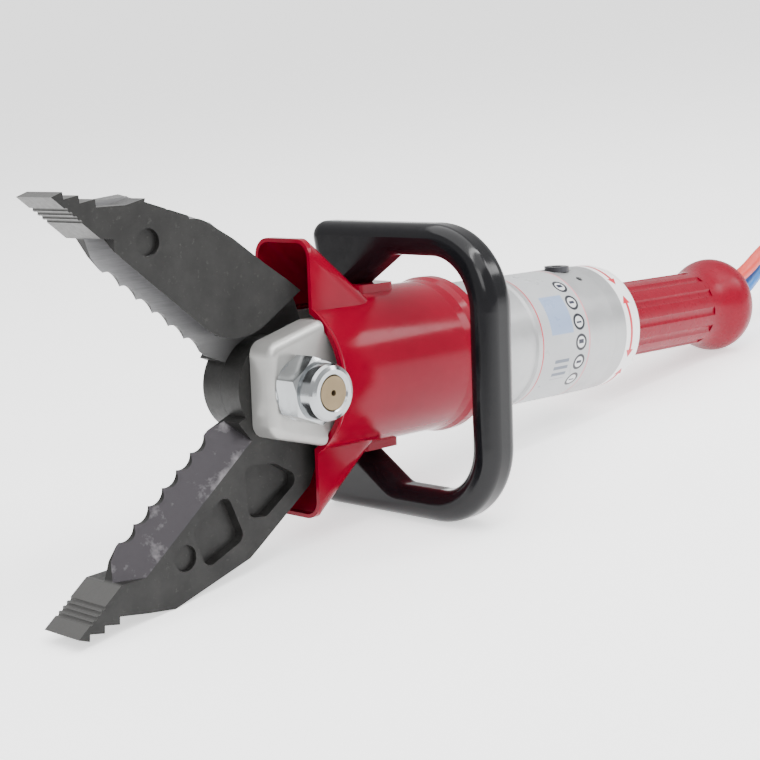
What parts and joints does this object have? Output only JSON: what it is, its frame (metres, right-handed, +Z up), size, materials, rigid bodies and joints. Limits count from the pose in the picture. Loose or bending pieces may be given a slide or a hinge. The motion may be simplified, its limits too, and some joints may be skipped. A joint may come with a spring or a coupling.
{
  "type": "hydraulic rescue spreader-cutter",
  "caption": "Hydraulic rescue spreader-cutter with toothed bypass blades, hooded guard, bow carrying handle, twist grip valve and hoses with couplers.",
  "frame": {"origin": "centre of the tool's outline on the floor it lies on, measured without the hoses and couplers", "axes": "+X from the grip towards the blade tips, level; +Y towards the carrying handle's outer bar and the pivot nut; +Z up. The cylinder's axis rises 8.43 degrees from the grip to the blades."},
  "size_m": [1.1845, 0.2246, 0.3006],
  "materials": {
    "blade_steel": "dark phosphated forging with ground shear faces",
    "bronze": "turned bronze",
    "bolt_steel": "yellow-passivated turned steel",
    "nut_zinc": "zinc-plated steel",
    "yoke_silver": "satin silver",
    "link_steel": "machined steel",
    "rod_chrome": "hard chrome",
    "seal": "moulded seal",
    "barrel_silver": "satin anodised",
    "label_face": "printed film",
    "band_white": "smooth moulded",
    "guard_red": "glossy moulded",
    "grip_red": "glossy moulded",
    "handle_black": "semi-gloss moulded",
    "screw_black": "black oxide",
    "cover_black": "moulded",
    "hose_coral": "smooth coloured hose",
    "hose_blue": "smooth coloured hose",
    "coupler_steel": "zinc-plated steel"
  },
  "bodies": {
    "tool_body": {"thrust_washers": "link_steel", "pivot_bolt": "bolt_steel", "pivot_washer": "nut_zinc", "pivot_nut": "nut_zinc", "yoke": "yoke_silver", "rod_gland": "bronze", "rod_seal": "seal", "cylinder_barrel": "barrel_silver", "rear_housing": "barrel_silver", "label_band": "label_face", "bleed_plug": "screw_black", "grub_screws": "screw_black", "arrow_band": "band_white", "stem": "link_steel", "return_spring": "screw_black", "stem_ring": "screw_black", "ferrule_pressure": "coupler_steel", "ferrule_return": "coupler_steel", "rear_cover": "cover_black", "guard": "guard_red", "guard_screws": "screw_black", "carry_handle": "handle_black", "handle_screws": "screw_black", "hose_pressure": "hose_coral", "hose_return": "hose_blue", "coupler_male": "coupler_steel", "coupler_socket": "coupler_steel"},
    "lower_blade": {"blade_lower": "blade_steel", "hub_bush_lower": "bronze", "heel_pin_lower": "link_steel"},
    "upper_blade": {"blade_upper": "blade_steel", "hub_bush_upper": "bronze", "heel_pin_upper": "link_steel"},
    "crosshead_rod": {"crosshead": "link_steel", "crosshead_pin": "link_steel", "pin_rings": "screw_black", "piston_rod": "rod_chrome", "piston": "link_steel", "piston_seal": "seal", "piston_nut": "screw_black"},
    "lower_link": {"link_lower": "link_steel"},
    "upper_link": {"link_upper": "link_steel"},
    "grip": {"twist_grip": "grip_red", "valve_disc": "link_steel"},
    "sleeve": {"coupler_sleeve": "coupler_steel"}
  },
  "joints": [
    {"name": "lower_blade_close", "type": "hinge", "parent": "tool_body", "child": "lower_blade", "pos_m": [0.19045, -0.04035, 0.1271], "axis": [0, -1, 0], "range_deg": [0, 38.5]},
    {"name": "upper_blade_close", "type": "hinge", "parent": "tool_body", "child": "upper_blade", "pos_m": [0.19045, -0.04035, 0.1271], "axis": [0, 1, 0], "range_deg": [0, 38.5]},
    {"name": "piston_stroke", "type": "slide", "parent": "tool_body", "child": "crosshead_rod", "axis": [0.9892, 0, 0.1466], "range_m": [0, 0.03757]},
    {"name": "lower_link_swing", "type": "hinge", "parent": "crosshead_rod", "child": "lower_link", "pos_m": [0.10375, -0.04035, 0.11425], "axis": [0, 1, 0], "range_deg": [0, 16.54]},
    {"name": "upper_link_swing", "type": "hinge", "parent": "crosshead_rod", "child": "upper_link", "pos_m": [0.10375, -0.04035, 0.11425], "axis": [0, -1, 0], "range_deg": [0, 16.54]},
    {"name": "grip_twist", "type": "hinge", "parent": "tool_body", "child": "grip", "pos_m": [0.19045, -0.04035, 0.1271], "axis": [0.9892, 0, 0.1466], "range_deg": [-30, 30], "stiffness_Nm_per_rad": 3},
    {"name": "sleeve_pull", "type": "slide", "parent": "tool_body", "child": "sleeve", "axis": [0.9754, 0.2203, 0], "range_m": [0, 0.006], "stiffness_N_per_m": 600}
  ],
  "couplings": [
    {"joint": "upper_blade_close", "follows": "lower_blade_close", "ratio": 1},
    {"joint": "piston_stroke", "follows": "lower_blade_close", "m_per_rad": 0.055897},
    {"joint": "lower_link_swing", "follows": "lower_blade_close", "ratio": 0.42935},
    {"joint": "upper_link_swing", "follows": "lower_blade_close", "ratio": 0.42935}
  ]
}
